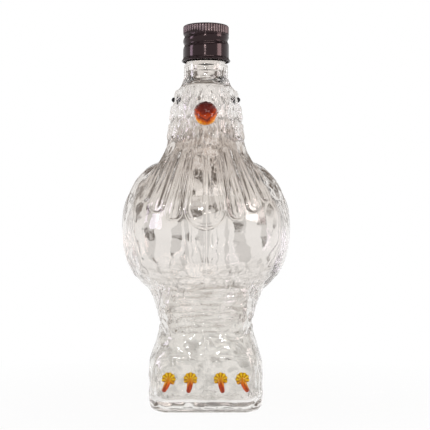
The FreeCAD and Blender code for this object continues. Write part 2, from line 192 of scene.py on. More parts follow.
# Thread of the neck and rolled groove of the cap: start, turns, half width, phase in turns, power
PITCH = 6.0
THREAD = (244.3, 1.7, 1.0, 0.5, 4)
THREAD_HEIGHT = 1.15
THREAD_FADE_TURNS = 0.12
GROOVE = (245.3, 1.75, 1.45, 0, 2)
GROOVE_DEPTH = 0.85

# Screw cap and liner
CAP_RADIUS = 15.75
CAP_WALL = 0.5
CAP_RIB_WALL = 0.2
CAP_TOP = 262.1
CAP_HEM = 237.1
CAP_TOP_ROUND = 1.4
CAP_TOP_RINGS = (2.0, 7.0, 12.0)
CAP_DISH = 0.18
CAP_FLARE = 1.1
GRIP_COUNT = 50
GRIP_BOTTOM = 255.7
GRIP_DEPTH = 0.5
NIP_DEPTH = 0.12
LINER_RADIUS = 14.9
LINER_BOTTOM = 260.1
LINER_THICKNESS = 1.4
LINER_ROUND = 0.35
LINER_GAP = 0.1
LIP_MARK_RADIUS = 11.3
LIP_MARK_HALF_WIDTH = 1.2
LIP_MARK_DEPTH = 0.25

# Beak
BEAK_HEIGHT = 200.6
BEAK_HALF_WIDTH = 7.6
BEAK_HALF_DEPTH = 6.4
BEAK_REACH = 10.5
BEAK_DROP = 7.5
BEAK_SWEEP = math.radians(75)
BEAK_TAPER_SHARE = 0.86
BEAK_DOME = 4.8
BEAK_SUNK = 1.6
BEAK_ROOTS = (4.0, 2.0)
BEAK_KNOB_TURNS = 4
BEAK_KNOB_HEIGHTS = (0.12, 0.34)
BEAK_RIDGE_HALF_ANGLE = 0.16

# Eyes: a flare is one ring of the bead's foot, as a share of its radius and a step outwards
EYE_RADIUS = 1.7
EYE_HEIGHT = 210.5
EYE_FORWARD = 3.5
EYE_TILT = 0.2
EYE_SUNK_ANGLE = 0.42
EYE_PROUD = 0.15
EYE_FLARES = ((1.12, -0.7), (1.06, -0.25), (1.0, 0.0))

# Claws: name, place across and splay in degrees
CLAW_HEIGHT = 23.2
CLAWS = (("claw_left_outer", -24.2, 16.0), ("claw_left_inner", -9.9, 2.0),
         ("claw_right_inner", 9.9, -2.0), ("claw_right_outer", 24.2, -16.0))
TOE_COUNT = 7
TOE_FAN = math.radians(226)
TOE_TILT = math.radians(14)
TOE_LENGTH = 3.3
TOE_RADII = (1.2, 1.5)
HUB_RADIUS = 2.6
HUB_LIFT = 2.2
TALON_LENGTH = 7.4
TALON_ARCH = 1.8
TALON_BEND = 0.9
TALON_RADII = (2.3, 1.6)
MELT_VOXEL = 0.24

# Fineness of the meshes
GLASS_COLUMNS = 272
FRONT_CROWDING = 0.38
FINE_ROWS_BELOW = 62.0
CAP_COLUMNS = 400
LINER_COLUMNS = 96
BEAK_COLUMNS = 72
EYE_COLUMNS = 40
BALL_COLUMNS = 20

# Ends of ramps
OFF = (0.0, 0.0, 0.0)
ON = (1.0, 1.0, 1.0)
RISING = [(0.0, OFF), (1.0, ON)]
FALLING = [(0.0, ON), (1.0, OFF)]

# Glass colours, the shares of its height at which each holds, and darker marks in it. The tints and the marks
# are painted shade for the darker surroundings seen through the glass. A mark is how fast the noise runs
# along each axis, low and high end, share over which it fades, and colour
# Painted shade: the glass is greyer than clear glass, and darker at the block and waist, at the throat and at
# the neck.
GLASS_PLAIN = (0.895, 0.872, 0.850)
GLASS_SHADED = (0.845, 0.810, 0.775)
GLASS_DEEP_SHADE = (0.815, 0.772, 0.735)
GLASS_BLOCK_SHADE = (0.870, 0.852, 0.825)
GLASS_SHADOW = (0.84, 0.83, 0.82)
GLASS_SPAN = (8.0, 248.0)
GLASS_DRIFT = 16.0
GLASS_STOPS = [
    (0.05, GLASS_BLOCK_SHADE), (0.24, GLASS_BLOCK_SHADE), (0.36, GLASS_PLAIN), (0.50, GLASS_PLAIN), (0.60, GLASS_SHADED),
    (0.68, GLASS_DEEP_SHADE), (0.76, GLASS_DEEP_SHADE), (0.83, GLASS_PLAIN), (0.90, GLASS_PLAIN), (1.0, GLASS_SHADED)]
# Painted shade: darker streaks at the throat, wavy bands at the waist and clouds on the block.
GLASS_SHADE_MARKS = (
    ((560.0, 560.0, 100.0), 154.0, 208.0, 0.35, (0.52, 0.455, 0.405)),
    ((70.0, 70.0, 430.0), 44.0, 104.0, 0.3, (0.66, 0.63, 0.595)),
    ((110.0, 110.0, 140.0), 2.0, 52.0, 0.2, (0.64, 0.625, 0.60)),
)
GRAIN_DETAIL = 2.0

# Other colours
LACQUER = (0.009, 0.005, 0.0065)
# Paler crests of the grip: partly wear, partly a painted highlight.
LACQUER_WEAR_AND_GLINT = (0.42, 0.32, 0.32)
LACQUER_SHEEN = (1.0, 0.74, 0.74)
FOAM = (0.78, 0.77, 0.74)
BLACK = (0.004, 0.003, 0.003)
# The beak's colours are painted light: a dark top, a dark band low down and a painted glow of orange and
# yellow underneath.
BEAK_SPAN = (190.0, 210.0)
BEAK_BOW = 0.11
BEAK_SWIRL = 5.0
BEAK_PAINTED_LIGHT_STOPS = [
    (0.00, (1.0, 0.60, 0.005)), (0.12, (1.0, 0.36, 0.0)), (0.21, (0.70, 0.11, 0.0)),
    (0.29, (0.14, 0.012, 0.003)), (0.36, (0.50, 0.05, 0.0)), (0.50, (0.16, 0.013, 0.005)),
    (1.00, (0.055, 0.007, 0.009))]
STREAK_SPAN = (-0.6, 1.9)
STREAK_SWIRL = 1.6
TOE_STOPS = [(0.0, (0.36, 0.13, 0.0)), (0.45, (0.60, 0.33, 0.0)), (1.0, (0.86, 0.60, 0.01))]
TALON_STOPS = [(0.0, (0.28, 0.015, 0.0)), (1.0, (0.80, 0.11, 0.0))]
TALON_SPREAD = 1.2
TALON_TO_TOES = (-3.0, 3.6)
AMBER_SURFACE = {"Roughness": 0.06, "Specular IOR Level": 0.25, "Transmission Weight": 0.12}

# Studio. Directions are the parts of a unit vector from the bottle, with the camera on minus Y
AXIS_ASIDE = 0.0077
PATCH_DETAIL = 3.0
CEILING_PATCHES = (7.0, 7.0, 4.0)
CEILING_STOPS = [(0.0, (0.12, 0.10, 0.085)), (0.45, (0.34, 0.31, 0.28)), (0.75, (0.8, 0.8, 0.8)), (1.0, ON)]
STRIP_STOPS = [(0.0, OFF), (0.25, ON), (0.8, ON), (1.0, OFF)]
STRIP_COLOR = (0.15, 0.12, 0.10)
CARD_SPAN = (-0.10, 0.13)
CARD_HALF_WIDTHS = (
    (0.0, 0.030), (0.43, 0.052), (0.58, 0.058), (0.68, 0.046), (0.74, 0.034), (0.82, 0.027), (1.0, 0.021))
CARD_END_STOPS = [(0.0, OFF), (0.15, ON), (0.9, ON), (1.0, OFF)]
CARD_PATCHES = (50.0, 7.0, 36.0)
CARD_SPOT_STOPS = [(0.0, ON), (1.0, (0.55, 0.55, 0.55))]
CARD_LOW_SHADE = (0.27, 0.27, 0.27)
CARD_COLOR = (0.10, 0.075, 0.055)
LIGHT_BOUNCES = 32

# Paper under the bottle: it glows white, less so near the bottle, where the shadow shows. In metres
PAPER_RADIUS = 0.36
PAPER_COLOR = (0.9, 0.9, 0.9)
PAPER_SHADOW_SPAN = (0.10, 0.34)
PAPER_GLOW_NEAR = 0.93

# Lamps in metres and watts: name, place, width and height, power, colour
LAMP_AIM = (0, 0, 0.15)
LAMPS = (
    ("lamp_left", (-1.2, -0.25, 0.45), (0.32, 0.6), 4.0, (0.88, 0.78, 1.0)),
    ("lamp_right", (1.15, -0.4, 0.5), (0.5, 0.4), 4.2, (1.0, 0.85, 0.85)),
    ("lamp_high", (0.25, -0.9, 1.15), (1.1, 0.3), 3.6, (1.0, 0.96, 0.95)),
    ("lamp_front", (-0.12, -1.5, 0.55), (0.14, 0.09), 1.5, (1.0, 1.0, 1.0)),
)

# Camera: what it sees across at the axis sets the lens
CAMERA_DISTANCE = 800.0
CAMERA_ASIDE = 6.2
CAMERA_HEIGHT = 114.5
AIM_HEIGHT = 131.7
VIEW_WIDTH = 295.8
SENSOR_WIDTH = 36.0


# Curves and meshes

def smoothstep(low, high, value):
    """0 at low and 1 at high, with a soft start and end."""
    share = np.clip((value - low) / (high - low), 0, 1)
    return share * share * (3 - 2 * share)


def fades(z, fade_in, fade_out):
    """1 between two heights, with a soft start and end."""
    return smoothstep(*fade_in, z) * smoothstep(*fade_out, z)


def bump(distance, half_width):
    """1 on a line, falling off on both sides of it."""
    return np.exp(-(distance / half_width) ** 2)


def smooth_max(a, b, blend):
    """The larger of two radii, with the crease between them filled."""
    gap = np.clip(1 - np.abs(a - b) / blend, 0, 1)
    return np.maximum(a, b) + gap * gap * blend / 4


def cubic(x, knots, values):
    """A smooth curve through the knots."""
    knots = np.asarray(knots, float)
    values = np.asarray(values, float)
    slopes = np.gradient(values, knots)
    index = np.clip(np.searchsorted(knots, x) - 1, 0, len(knots) - 2)
    span = knots[index + 1] - knots[index]
    t = np.clip((x - knots[index]) / span, 0, 1)
    return ((2 * t ** 3 - 3 * t ** 2 + 1) * values[index] + (t ** 3 - 2 * t ** 2 + t) * span * slopes[index]
            + (3 * t ** 2 - 2 * t ** 3) * values[index + 1] + (t ** 3 - t ** 2) * span * slopes[index + 1])


def ripple(x, y, z, name):
    """Soft waves of one of the named sets, mostly between -1 and 1."""
    size, seed = RIPPLES[name]
    rng = np.random.default_rng(seed)
    total = 0
    for _ in range(RIPPLE_WAVES):
        way = rng.normal(size=3)
        way *= TAU / (size * rng.uniform(0.7, 1.5) * np.linalg.norm(way))
        total = total + np.sin(way[0] * x + way[1] * y + way[2] * z + rng.uniform(0, TAU))
    return total / math.sqrt(RIPPLE_WAVES) / 1.5


def make_mesh(name, points, faces):
    """A smooth mesh object in metres from points in millimetres."""
    mesh = bpy.data.meshes.new(name)
    mesh.from_pydata([tuple(p) for p in np.asarray(points) * MM], [], faces)
    mesh.validate()
    mesh.polygons.foreach_set("use_smooth", [True] * len(mesh.polygons))
    mesh.update()
    piece = bpy.data.objects.new(name, mesh)
    bpy.context.scene.collection.objects.link(piece)
    return piece


def ringed_skin(rings, ends):
    """Points and faces of a closed skin through rings, with a fan to a point at each end."""
    rows, columns, _ = rings.shape
    points = np.concatenate([rings.reshape(-1, 3), ends])
    first_end = rows * columns
    last_ring = first_end - columns
    faces = []
    for low in range(0, last_ring, columns):
        high = low + columns
        for column in range(columns):
            after = (column + 1) % columns
            faces.append((low + column, low + after, high + after, high + column))
    for column in range(columns):
        after = (column + 1) % columns
        faces.append((first_end, after, column))
        faces.append((first_end + 1, last_ring + column, last_ring + after))
    return points, faces


def ringed_mesh(name, rings):
    """A closed mesh through rings, with a fan to the middle of the first and the last."""
    return make_mesh(name, *ringed_skin(rings, rings[[0, -1]].mean(axis=1)))


def level(theta, reach, z):
    """Points of rings from their reach and height."""
    reach, z, theta = np.broadcast_arrays(reach, z, theta)
    return np.stack([reach * np.cos(theta), reach * np.sin(theta), z], axis=-1)


def rows_of(*values):
    """Values down a column, to meet a row of angles."""
    return np.concatenate([np.atleast_1d(value) for value in values])[:, None]


def full_turn(columns):
    """A row of angles round the axis."""
    return np.arange(columns)[None, :] * TAU / columns


def quarter_turn(steps):
    """Angles of a quarter turn."""
    return np.linspace(0, QUARTER, steps)


# Main forms of the glass, each as its reach from the axis

def trunk_radius(theta, z, inset, collar):
    """Reach of the trunk and head from the axis."""
    waist = (WAIST_HALF_WIDTH, WAIST_HALF_DEPTH, WAIST_HALF_DEPTH)
    stations = [(WAIST_HEIGHT - WAIST_OVERLAP, *waist), (WAIST_HEIGHT, *waist)]
    for up, across, front, back in TRUNK_STATION_SHARES:
        stations.append((WAIST_HEIGHT + up * TRUNK_RISE, across * TRUNK_HALF_WIDTH,
                         front * TRUNK_HALF_DEPTH, back * TRUNK_HALF_DEPTH))
    stations.append((COLLAR, collar + inset, collar + inset, collar + inset))
    heights, widths, fronts, backs = zip(*stations)
    half_width, front, back = (cubic(z, heights, sizes) - inset for sizes in (widths, fronts, backs))
    depth = np.where(np.sin(theta) < 0, front, back)
    return 1 / np.sqrt((np.cos(theta) / half_width) ** 2 + (np.sin(theta) / depth) ** 2)


def lobe_radius(theta, z, centre, half, side, inset):
    """Reach of one ellipsoid from the axis, or nothing where the ray misses it."""
    cx, cy, cz = side * centre[0], centre[1], centre[2]
    a, b, c = (size - inset for size in half)
    across = np.cos(theta) / a
    along = np.sin(theta) / b
    square = across ** 2 + along ** 2
    middle = across * cx / a + along * cy / b
    rest = (cx / a) ** 2 + (cy / b) ** 2 + ((z - cz) / c) ** 2 - 1
    root = middle ** 2 - square * rest
    far = (middle + np.sqrt(np.maximum(root, 0))) / square
    return np.where((root > 0) & (far > 0), far, 0)


def rounded_box_radius(theta, half_width, half_depth, corner):
    """Reach of a rectangle with round corners from its middle."""
    c = np.abs(np.cos(theta)) + TINY
    s = np.abs(np.sin(theta)) + TINY
    centre_x = half_width - corner
    centre_y = half_depth - corner
    middle = c * centre_x + s * centre_y
    arc = middle + np.sqrt(np.maximum(middle ** 2 - centre_x ** 2 - centre_y ** 2 + corner ** 2, 0))
    side = np.where(half_width * s / c <= centre_y, half_width / c, arc)
    return np.where(half_depth * c / s <= centre_x, half_depth / s, side)


def block_radius(theta, z, inset, floor, foot_round):
    """Reach of the block from the axis: upright, then tapered to the waist, with a round foot."""
    taper = np.clip((z - BLOCK_FACE_HEIGHT) / (WAIST_HEIGHT - BLOCK_FACE_HEIGHT), -1, 1.3)
    soft = (taper + np.sqrt(taper ** 2 + BEND_SOFTNESS)) / 2
    down = np.clip(foot_round + floor - z, 0, foot_round)
    shrink = inset + foot_round - np.sqrt(np.maximum(foot_round ** 2 - down ** 2, 0))
    half_width = BLOCK_HALF_WIDTH + soft * (WAIST_HALF_WIDTH - BLOCK_HALF_WIDTH) - shrink
    half_depth = BLOCK_HALF_DEPTH + soft * (WAIST_HALF_DEPTH - BLOCK_HALF_DEPTH) - shrink
    corner = BLOCK_CORNER + np.clip(soft, 0, 1) * (WAIST_CORNER - BLOCK_CORNER) - shrink
    above = np.clip(z - WAIST_HEIGHT, 0, None) * CLOSING_SLOPE
    return rounded_box_radius(theta, half_width - above, half_depth - above, np.maximum(corner - above, 1))


def body_radius(theta, z, inset, collar, floor, foot_round, blend):
    """Reach of the whole figure from the axis at each height."""
    trunk = trunk_radius(theta, z, inset, collar)
    reach = np.where(z > WAIST_HEIGHT - WAIST_OVERLAP, trunk, 0)
    for side in (1, -1):
        for centre, half in ((WING_CENTRE, WING_HALF), (THIGH_CENTRE, THIGH_HALF)):
            reach = smooth_max(reach, lobe_radius(theta, z, centre, half, side, inset), blend)
    block = block_radius(theta, z, inset, floor, foot_round)
    joined = smooth_max(reach, block, blend * BLOCK_BLEND_SHARE)
    return np.where(z < WAIST_HEIGHT + WAIST_OVERLAP, joined, reach)


def outer_radius(theta, z):
    """Reach of the plain outside."""
    return body_radius(theta, z, 0, NECK_RADIUS, 0, FOOT_ROUND, OUTER_BLEND)


def inner_radius(theta, z):
    """Reach of the plain inside."""
    return body_radius(theta, z, WALL, BORE_RADIUS, FLOOR, FLOOR_ROUND, INNER_BLEND)


# Relief of the glass

def leaf_distance(x, y, root, tip, root_half, tip_half):
    """Distance outside the edge of a long round-ended leaf, from its midrib, and the share along it."""
    ax, ay = tip[0] - root[0], tip[1] - root[1]
    length = math.hypot(ax, ay)
    along = ((x - root[0]) * ax + (y - root[1]) * ay) / length
    share = np.clip(along / length, 0, 1)
    rib = np.abs((x - root[0]) * ay - (y - root[1]) * ax) / length
    middle = np.hypot(x - root[0] - share * ax, y - root[1] - share * ay)
    edge = middle - (root_half + share * (tip_half - root_half))
    return edge, rib, along / length


def leaf_height(x, y, root, tip, root_half, tip_half, margin=LEAF_MARGIN):
    """A raised leaf: round edge, a line inside the edge and a midrib. 1 is full height."""
    edge, rib, along = leaf_distance(x, y, root, tip, root_half, tip_half)
    rise = smoothstep(0.2, -1.3, edge) * smoothstep(-0.06, 0.12, along)
    line = bump(edge + margin, LEAF_LINE_HALF_WIDTH) * smoothstep(0.25, 0.6, along)
    crest = bump(rib, LEAF_RIB_HALF_WIDTH) * smoothstep(0, -2, edge)
    return rise * (1 - LEAF_LINE_DEPTH * line + LEAF_RIB_HEIGHT * crest)


def feather_fan(across, up, shares, origin, size, mirrored):
    """A fan of long feathers in a flat view of the glass. 1 is full height."""
    total = np.zeros_like(across)
    for root_x, root_z, tip_x, tip_z, root_half, tip_half in shares:
        for side in ((1, -1) if mirrored and root_x else (1,)):
            root = (origin[0] + side * root_x * size[0], origin[1] + root_z * size[1])
            tip = (origin[0] + side * tip_x * size[0], origin[1] + tip_z * size[1])
            leaf = leaf_height(across, up, root, tip, root_half * size[0], tip_half * size[0])
            total = np.maximum(total, leaf)
    return total


def trunk_feathers(x, z, shares):
    """Feathers on the trunk, seen along the depth."""
    return feather_fan(x, z, shares, (0, WAIST_HEIGHT), (TRUNK_HALF_WIDTH, TRUNK_RISE), True)


def wing_feathers(y, z):
    """Flight feathers on a wing, seen from the side."""
    return feather_fan(y, z, WING_FEATHER_SHARES, WING_CENTRE[1:], WING_HALF[1:], False)


def plumage_rings(theta, z, reach):
    """Rings of hanging feathers round the head and throat, clear of the beak and the eyes."""
    step = TAU / PLUMAGE_RING_COUNT
    turn = theta + QUARTER
    total = np.zeros_like(reach)
    for row, (root_up, tip_up, root_half, tip_half) in enumerate(PLUMAGE_ROW_SHARES):
        away = np.mod(turn + (step / 2 if row % 2 else 0), step) - step / 2
        root = (0, WAIST_HEIGHT + root_up * TRUNK_RISE)
        tip = (0, WAIST_HEIGHT + tip_up * TRUNK_RISE)
        leaf = leaf_height(reach * np.sin(away), z, root, tip, root_half * TRUNK_HALF_WIDTH,
                           tip_half * TRUNK_HALF_WIDTH, PLUMAGE_MARGIN)
        if row == len(PLUMAGE_ROW_SHARES) - 1:
            leaf = leaf * smoothstep(-0.15, -0.3, np.cos(turn))
        total = np.maximum(total, leaf)
    x, y = reach * np.sin(turn), -reach * np.cos(turn)
    from_beak = np.hypot(x / BEAK_HALF_WIDTH, (z - BEAK_HEIGHT) / BEAK_HALF_DEPTH) + (y > 0)
    from_eye = np.hypot(y + EYE_FORWARD, z - EYE_HEIGHT) / EYE_RADIUS
    return total * smoothstep(1.1, 1.5, from_beak) * smoothstep(1.2, 2.2, from_eye)


def scale_height(across, z, width, row, point):
    """Overlapping pointed feathers in rows: across is measured round the body. 1 is full height."""
    row_below = np.floor(z / row)
    best = np.zeros_like(z + across)
    done = np.zeros_like(best, bool)
    for step in (0, -1, -2):
        line = row_below + step
        shift = np.where(np.mod(line, 2) == 0, 0.0, 0.5)
        cell = np.mod(across / width + shift, 1) - 0.5
        from_rib = np.abs(2 * cell)
        tip = line * row + point * from_rib ** 1.6
        depth = (z - tip) / row
        inside = (depth > 0) & ~done
        edge = smoothstep(0, 0.22, depth)
        rib = 0.12 * bump(cell, 0.06)
        slope = 1 - 0.55 * np.clip(depth, 0, 1.4)
        swell = edge * slope * (1 - 0.5 * from_rib ** 4) + edge * rib
        best = np.where(inside, swell, best)
        done |= inside
    return best


def small_feathers(theta, z, x, y):
    """Overlapping small feathers: on the head, down the throat, on the legs and over the back."""
    wobble = ripple(x, y, z, "sway") + 0.5 * ripple(x, y, z, "shake")
    total = 0
    for name, height, girth, count, row, point, around, up, fade_in, fade_out in COATS:
        across = girth * theta + around * wobble
        scales = scale_height(across, z + up * wobble, TAU * girth / count, row, point)
        if name == "back":
            scales = scales * smoothstep(0, 0.25, np.sin(theta))
        total = total + height * scales * fades(z, fade_in, fade_out)
    return total


def panel_line(x, z):
    """The raised line round the flat face of the block. 1 is full height."""
    low, high = PANEL_SPAN
    out = np.abs(x) - PANEL_HALF_WIDTH + PANEL_CORNER
    up = np.abs(z - (low + high) / 2) - (high - low) / 2 + PANEL_CORNER
    edge = np.hypot(np.maximum(out, 0), np.maximum(up, 0)) + np.minimum(np.maximum(out, up), 0) - PANEL_CORNER
    return bump(edge, PANEL_LINE_HALF_WIDTH)


def leg_lines(x, y, z):
    """Ripples that run across the front of the legs. 1 is full height."""
    waves = np.sin(TAU * z / LEG_LINE_PITCH + 1.5 * ripple(x, y, z, "leg lines"))
    return waves * smoothstep(20, 10, np.abs(x)) * fades(z, (50, 56), (88, 78))


def feathers(theta, z, reach, x, y, front):
    """All that is feather: breast, tail, wings, the small ones between them and the rings of plumage."""
    back = smoothstep(-0.05, 0.2, np.sin(theta))
    side = smoothstep(0.55, 0.75, np.abs(np.cos(theta)))
    wing_reach = np.maximum(lobe_radius(theta, z, WING_CENTRE, WING_HALF, 1, 0),
                            lobe_radius(theta, z, WING_CENTRE, WING_HALF, -1, 0))
    on_wing = smoothstep(-1.0, 0.5, wing_reach - trunk_radius(theta, z, 0, NECK_RADIUS))
    breast = trunk_feathers(x, z, BREAST_FEATHER_SHARES) * front * (1 - on_wing * smoothstep(165, 150, z))
    tail = trunk_feathers(x, z, TAIL_FEATHER_SHARES) * back * (1 - on_wing)
    wing = wing_feathers(y, z) * side * on_wing
    total = np.maximum(np.maximum(BREAST_RELIEF * breast, TAIL_RELIEF * tail), WING_RELIEF * wing)
    under = 1 - 0.8 * smoothstep(0.3, 1.0, total)
    total = total + small_feathers(theta, z, x, y) * under * (1 - on_wing)
    return total + PLUMAGE_RELIEF * plumage_rings(theta, z, reach) * smoothstep(0.9, 0.1, breast)


def relief(theta, z, reach):
    """Everything carved on the outside, added to the reach."""
    x = reach * np.cos(theta)
    y = reach * np.sin(theta)
    front = smoothstep(0.05, -0.2, np.sin(theta))
    total = feathers(theta, z, reach, x, y, front)
    total = total + front * (LEG_LINE_RELIEF * leg_lines(x, y, z) + PANEL_RELIEF * panel_line(x, z))
    seam = bump(x, SEAM_HALF_WIDTH) * (smoothstep(2, 6, z) - smoothstep(168, 172, z))
    total = total + SEAM_RELIEF * seam + SKIN_RELIEF * ripple(x, y, z, "skin")
    everywhere, below_belly = DIMPLE_RELIEF
    dimple = everywhere + below_belly * smoothstep(112, 80, z)
    total = total + dimple * ripple(x, y, z, "dimples")
    return total * fades(z, (0, 8), (COLLAR, COLLAR - 4))


def inside_box(theta, reach):
    """The reach, eased so that no point leaves the box of the solids."""
    (_, front, _), (side, back, _) = CAD_BOX
    depth = np.where(np.sin(theta) < 0, -front, back) / MM
    room = np.minimum(side / MM / (np.abs(np.cos(theta)) + TINY), depth / (np.abs(np.sin(theta)) + TINY))
    return -smooth_max(-reach, -room, BOX_BLEND)


# The glass

def helix(theta, z, start, turns, half_width, phase, power):
    """A right-hand helical ridge that fades at both ends. 1 is full height. A low power is rounder."""
    theta = np.mod(theta, TAU)
    total = 0
    for turn in range(-1, int(turns) + 2):
        share = (theta + TAU * turn) / TAU
        ridge = np.exp(-np.abs((z - start - PITCH * (share + phase)) / half_width) ** power)
        fade = fades(share, (0, THREAD_FADE_TURNS), (turns, turns - THREAD_FADE_TURNS))
        total = np.maximum(total, ridge * fade)
    return total


def glass_angles():
    """Angles round the axis, closer together at the bird's front."""
    u = full_turn(GLASS_COLUMNS)
    return u + FRONT_CROWDING * np.sin(u) + QUARTER


def foot_rings(theta):
    """The foot with its recess, from the middle outwards."""
    shares, lifts = np.array(FOOT_SHARES).T[:, :, None]
    return level(theta, shares * outer_radius(theta, rows_of(0.0)), lifts * RECESS)


def outside_rings(theta):
    """The outside from the foot to the collar."""
    z = rows_of(FOOT_ROUND * (1 - np.cos(quarter_turn(8))), np.linspace(FOOT_ROUND, FINE_ROWS_BELOW, 54)[1:],
                np.linspace(FINE_ROWS_BELOW, COLLAR, 176)[1:])
    reach = outer_radius(theta, z)
    return level(theta, inside_box(theta, reach + relief(theta, z, reach)), z)


def neck_rings(theta):
    """The neck above the collar, its ring lines, the threaded finish and the round lip."""
    shoulder = NECK_TOP - NECK_ROUND
    z = rows_of(np.linspace(COLLAR, shoulder, 18)[1:], shoulder + NECK_ROUND * np.sin(quarter_turn(6))[1:])
    corner = np.clip(z - NECK_TOP + NECK_ROUND, 0, NECK_ROUND)
    radius = NECK_RADIUS - NECK_ROUND + np.sqrt(NECK_ROUND ** 2 - corner ** 2)
    for height in NECK_LINE_HEIGHTS:
        radius = radius + NECK_LINE_RELIEF * bump(z - height, NECK_LINE_HALF_WIDTH)
    rings = [level(theta, radius, z)]
    z = rows_of(np.linspace(NECK_TOP + FINISH_STEP, LIP - LIP_ROUND, 44))
    ridge = helix(theta, z, *THREAD)
    rings.append(level(theta, FINISH_ROOT_RADIUS + THREAD_HEIGHT * ridge, z))
    arc = rows_of(quarter_turn(6))
    rise = 1 - np.sin(arc)
    fall = 1 - np.cos(arc)
    rings.append(level(theta, FINISH_ROOT_RADIUS - LIP_ROUND * fall, LIP - LIP_ROUND * rise))
    rings.append(level(theta, BORE_RADIUS + BORE_ROUND * rise, LIP - BORE_ROUND * fall))
    return np.concatenate(rings)


def bore_rings(theta):
    """The bore of the neck, downwards."""
    z = rows_of(np.linspace(LIP - 2, COLLAR, 6))
    return level(theta, BORE_RADIUS, z)


def inside_rings(theta):
    """The wavy inside from the collar down, and the inner floor."""
    z = rows_of(np.linspace(COLLAR, FLOOR + FLOOR_ROUND, 74)[1:],
                FLOOR + FLOOR_ROUND * (1 - np.sin(quarter_turn(6)))[1:])
    inner = inner_radius(theta, z)
    x, y = inner * np.cos(theta), inner * np.sin(theta)
    rough = 0.12 * fades(z, (118, 140), (172, 160)) + smoothstep(90, 66, z)
    waves = (0.3 + 0.2 * rough) * ripple(x, y, z, "inside")
    waves = waves + (0.12 + 0.43 * rough) * ripple(x, y, z, "inside dimples")
    waves = waves + 0.22 * smoothstep(58, 46, z) * ripple(x, y, z, "block dimples")
    inner = inner - smoothstep(COLLAR, COLLAR - 8, z) * (0.4 + waves)
    shares = rows_of(0.8, 0.5, 0.15)
    floor = level(theta, shares * inner[-1:], FLOOR + 0.6 * (1 - shares))
    return np.concatenate([level(theta, inner, z), floor])


def glass_body():
    """The hollow shell as one skin: foot, outside, lip, bore and inside, down to the inner floor."""
    theta = glass_angles()
    parts = (foot_rings, outside_rings, neck_rings, bore_rings, inside_rings)
    return ringed_mesh("glass_shell", np.concatenate([part(theta) for part in parts]))


# Cap and liner

def cap_wall(theta, z, radius):
    """Radius of the cap's wall with its grip ribs and rolled groove."""
    band = fades(z, (GRIP_BOTTOM, GRIP_BOTTOM + 0.4), (CAP_TOP - 0.3, CAP_TOP - CAP_TOP_ROUND))
    rib = np.abs(np.sin(GRIP_COUNT / 2 * theta))
    groove = helix(theta, z, *GROOVE)
    nip = bump(z - GRIP_BOTTOM + 0.7, 0.5)
    return radius - GRIP_DEPTH * band * (1 - rib) - GROOVE_DEPTH * groove - NIP_DEPTH * nip


def cap_outside(theta):
    """The dished top, its round edge, and the wall down to the hem."""
    edge = CAP_RADIUS - CAP_TOP_ROUND
    flat = rows_of(CAP_TOP_RINGS, edge - 0.6, edge)
    rings = [level(theta, flat, CAP_TOP - CAP_DISH * smoothstep(13.2, 11.5, flat))]
    arc = rows_of(quarter_turn(7)[1:])
    z = CAP_TOP - CAP_TOP_ROUND * (1 - np.cos(arc))
    rings.append(level(theta, cap_wall(theta, z, edge + CAP_TOP_ROUND * np.sin(arc)), z))
    z = rows_of(np.linspace(CAP_TOP - CAP_TOP_ROUND, CAP_HEM + 2.6, 80)[1:])
    rings.append(level(theta, cap_wall(theta, z, CAP_RADIUS), z))
    return np.concatenate(rings)


def cap_hem(theta):
    """The rolled bead at the bottom of the cap."""
    bead = CAP_FLARE / 2
    turn = rows_of(np.linspace(-0.3 * math.pi, 1.5 * math.pi, 16))
    out = CAP_RADIUS + bead * np.sin(turn + QUARTER) * 0.95 + 0.5
    return level(theta, out, CAP_HEM + bead + 0.05 - bead * np.sin(turn - 0.15))


def cap_inside(theta):
    """The inside of the cap, where the ribs are eased to clear the liner and the thread."""
    inner = CAP_RADIUS - CAP_WALL
    z = rows_of(np.linspace(CAP_HEM + 1.6, CAP_TOP - 1.2, 60))
    skin = cap_wall(theta, z, inner)
    eased = np.minimum(skin + CAP_WALL - CAP_RIB_WALL, np.maximum(skin, LINER_RADIUS + LINER_GAP))
    rings = [level(theta, np.where(z > GRIP_BOTTOM, eased, skin), z)]
    flat = rows_of(inner - 0.45, 10.0, 3.0)
    rings.append(level(theta, flat, CAP_TOP - CAP_WALL))
    return np.concatenate(rings)


def screw_cap():
    """The cap as one skin: top, grip band, rolled thread, hem bead and inside."""
    theta = full_turn(CAP_COLUMNS)
    return ringed_mesh("cap_shell", np.concatenate([cap_outside(theta), cap_hem(theta), cap_inside(theta)]))


def cap_liner():
    """The sealing disc: soft edges, and the ring that the bottle's lip has pressed into it."""
    theta = full_turn(LINER_COLUMNS)
    arc = quarter_turn(5)
    flat = np.linspace(1, LINER_RADIUS - LINER_ROUND, 34)
    radius = rows_of(flat, LINER_RADIUS - LINER_ROUND * (1 - np.sin(arc)))
    rise = rows_of(np.zeros_like(flat), LINER_ROUND * (1 - np.cos(arc)))
    mark = LIP_MARK_DEPTH * np.exp(-((radius - LIP_MARK_RADIUS) / LIP_MARK_HALF_WIDTH) ** 4)
    under = level(theta, radius, LINER_BOTTOM + rise + mark)
    over = level(theta, radius, LINER_BOTTOM + LINER_THICKNESS - rise)
    return ringed_mesh("liner_disc", np.concatenate([under, over[::-1]]))


# Beak, eyes and claws

def beak_oval(scale, place, forward, ridge):
    """One oval ring of the beak, swollen along its top."""
    turn = full_turn(BEAK_COLUMNS)[0]
    normal = np.array([0, forward[2], -forward[1]])
    across = scale * BEAK_HALF_WIDTH * np.cos(turn)
    up = scale * BEAK_HALF_DEPTH * np.sin(turn) + ridge * bump(turn - QUARTER, BEAK_RIDGE_HALF_ANGLE)
    return place + across[:, None] * np.array([1, 0, 0]) + up[:, None] * normal


